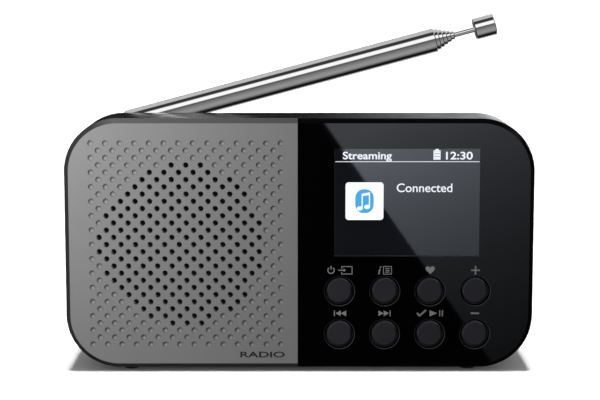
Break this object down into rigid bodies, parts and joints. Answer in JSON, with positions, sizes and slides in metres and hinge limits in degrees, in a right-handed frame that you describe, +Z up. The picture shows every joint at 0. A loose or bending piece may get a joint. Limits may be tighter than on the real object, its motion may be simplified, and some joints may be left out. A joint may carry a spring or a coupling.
{
  "type": "tabletop radio",
  "caption": "Portable tabletop radio with a perforated speaker grille, a lit display window, front push buttons and a folding telescopic antenna.",
  "frame": {"origin": "on the surface that the radio stands on, under the centre of the case", "axes": "+X to the right as seen from the front, +Y from the front to the back, +Z up"},
  "size_m": [0.155, 0.036, 0.1178],
  "materials": {
    "silver_paint": "satin silver paint with a fine texture",
    "gloss_black": "piano black, polished",
    "display_lens": "clear window, polished",
    "black_plastic": "fine moulded texture",
    "button_black": "satin, slightly soft",
    "rubber": "matt",
    "screw_steel": "zinc plated",
    "chrome": "polished",
    "brass": "plain",
    "cloth": "fine black woven mesh",
    "foam": "closed-cell foam",
    "cone_paper": "pressed black paper",
    "frame_steel": "black stoved steel",
    "ferrite": "sintered, matt",
    "zinc_steel": "zinc plated",
    "display_glass": "dark glass, switched on",
    "ribbon": "polyimide film",
    "circuit_board": "green solder mask",
    "chip_black": "moulded resin",
    "capacitor": "printed sleeve",
    "shield": "tinned",
    "cell_wrap": "printed sleeve, plain stripes",
    "contact": "nickel plated"
  },
  "bodies": {
    "case": {"grille_panel": "silver_paint", "window_panel": "gloss_black", "display_lens": "display_lens", "front_cabinet": "gloss_black", "rear_cabinet": "black_plastic", "rubber_feet": "rubber", "case_screws": "screw_steel", "grille_cloth": "cloth", "speaker_gasket": "foam", "speaker_frame": "frame_steel", "speaker_cone": "cone_paper", "speaker_surround": "rubber", "speaker_dust_cap": "cone_paper", "speaker_magnet": "ferrite", "speaker_yoke": "zinc_steel", "speaker_screws": "screw_steel", "display_module": "display_glass", "display_ribbon": "ribbon", "button_board": "circuit_board", "switch_domes": "contact", "main_board": "circuit_board", "tuner_module": "shield", "board_chips": "chip_black", "board_capacitors": "capacitor", "board_screws": "screw_steel", "usb_socket": "shield", "headphone_jack": "chip_black", "battery_springs": "contact", "battery_contacts": "contact", "battery_cell_1": "cell_wrap", "battery_cell_2": "cell_wrap", "battery_cell_3": "cell_wrap", "battery_cell_4": "cell_wrap"},
    "power_button": {"button_power": "button_black"},
    "info_button": {"button_info": "button_black"},
    "favourite_button": {"button_favourite": "button_black"},
    "plus_button": {"button_plus": "button_black"},
    "previous_button": {"button_previous": "button_black"},
    "next_button": {"button_next": "button_black"},
    "play_button": {"button_play": "button_black"},
    "minus_button": {"button_minus": "button_black"},
    "door": {"battery_door": "black_plastic"},
    "antenna_swivel": {"antenna_base": "chrome", "antenna_pin": "chrome", "antenna_nut": "brass"},
    "antenna_mast": {"antenna_knuckle": "chrome", "antenna_section_1": "chrome"},
    "mast_tube_2": {"antenna_section_2": "chrome"},
    "mast_tube_3": {"antenna_section_3": "chrome"},
    "mast_tube_4": {"antenna_section_4": "chrome"},
    "mast_tube_5": {"antenna_section_5": "chrome"},
    "mast_tube_6": {"antenna_section_6": "chrome"},
    "mast_rod": {"antenna_section_7": "chrome", "antenna_tip": "chrome"}
  },
  "joints": [
    {"name": "power_press", "type": "slide", "parent": "case", "child": "power_button", "axis": [0, 1, 0], "range_m": [0, 0.0005], "stiffness_N_per_m": 2000, "springref_m": -0.0002},
    {"name": "info_press", "type": "slide", "parent": "case", "child": "info_button", "axis": [0, 1, 0], "range_m": [0, 0.0005], "stiffness_N_per_m": 2000, "springref_m": -0.0002},
    {"name": "favourite_press", "type": "slide", "parent": "case", "child": "favourite_button", "axis": [0, 1, 0], "range_m": [0, 0.0005], "stiffness_N_per_m": 2000, "springref_m": -0.0002},
    {"name": "plus_press", "type": "slide", "parent": "case", "child": "plus_button", "axis": [0, 1, 0], "range_m": [0, 0.0005], "stiffness_N_per_m": 2000, "springref_m": -0.0002},
    {"name": "previous_press", "type": "slide", "parent": "case", "child": "previous_button", "axis": [0, 1, 0], "range_m": [0, 0.0005], "stiffness_N_per_m": 2000, "springref_m": -0.0002},
    {"name": "next_press", "type": "slide", "parent": "case", "child": "next_button", "axis": [0, 1, 0], "range_m": [0, 0.0005], "stiffness_N_per_m": 2000, "springref_m": -0.0002},
    {"name": "play_press", "type": "slide", "parent": "case", "child": "play_button", "axis": [0, 1, 0], "range_m": [0, 0.0005], "stiffness_N_per_m": 2000, "springref_m": -0.0002},
    {"name": "minus_press", "type": "slide", "parent": "case", "child": "minus_button", "axis": [0, 1, 0], "range_m": [0, 0.0005], "stiffness_N_per_m": 2000, "springref_m": -0.0002},
    {"name": "door_swing", "type": "hinge", "parent": "case", "child": "door", "pos_m": [0.0016, 0.018, 0.0387], "axis": [0, 0, 1], "range_deg": [0, 100]},
    {"name": "antenna_turn", "type": "hinge", "parent": "case", "child": "antenna_swivel", "pos_m": [-0.0644, 0.0106, 0.0792], "axis": [0, 0, 1], "range_deg": [0, 180]},
    {"name": "antenna_tilt", "type": "hinge", "parent": "antenna_swivel", "child": "antenna_mast", "pos_m": [-0.0644, 0.0106, 0.0792], "axis": [0, -1, 0], "range_deg": [-15, 75]},
    {"name": "extend_1", "type": "slide", "parent": "antenna_mast", "child": "mast_tube_2", "axis": [0.9659, 0, 0.2588], "range_m": [0, 0.09]},
    {"name": "extend_2", "type": "slide", "parent": "mast_tube_2", "child": "mast_tube_3", "axis": [0.9659, 0, 0.2588], "range_m": [0, 0.09]},
    {"name": "extend_3", "type": "slide", "parent": "mast_tube_3", "child": "mast_tube_4", "axis": [0.9659, 0, 0.2588], "range_m": [0, 0.09]},
    {"name": "extend_4", "type": "slide", "parent": "mast_tube_4", "child": "mast_tube_5", "axis": [0.9659, 0, 0.2588], "range_m": [0, 0.09]},
    {"name": "extend_5", "type": "slide", "parent": "mast_tube_5", "child": "mast_tube_6", "axis": [0.9659, 0, 0.2588], "range_m": [0, 0.09]},
    {"name": "extend_6", "type": "slide", "parent": "mast_tube_6", "child": "mast_rod", "axis": [0.9659, 0, 0.2588], "range_m": [0, 0.09]}
  ]
}
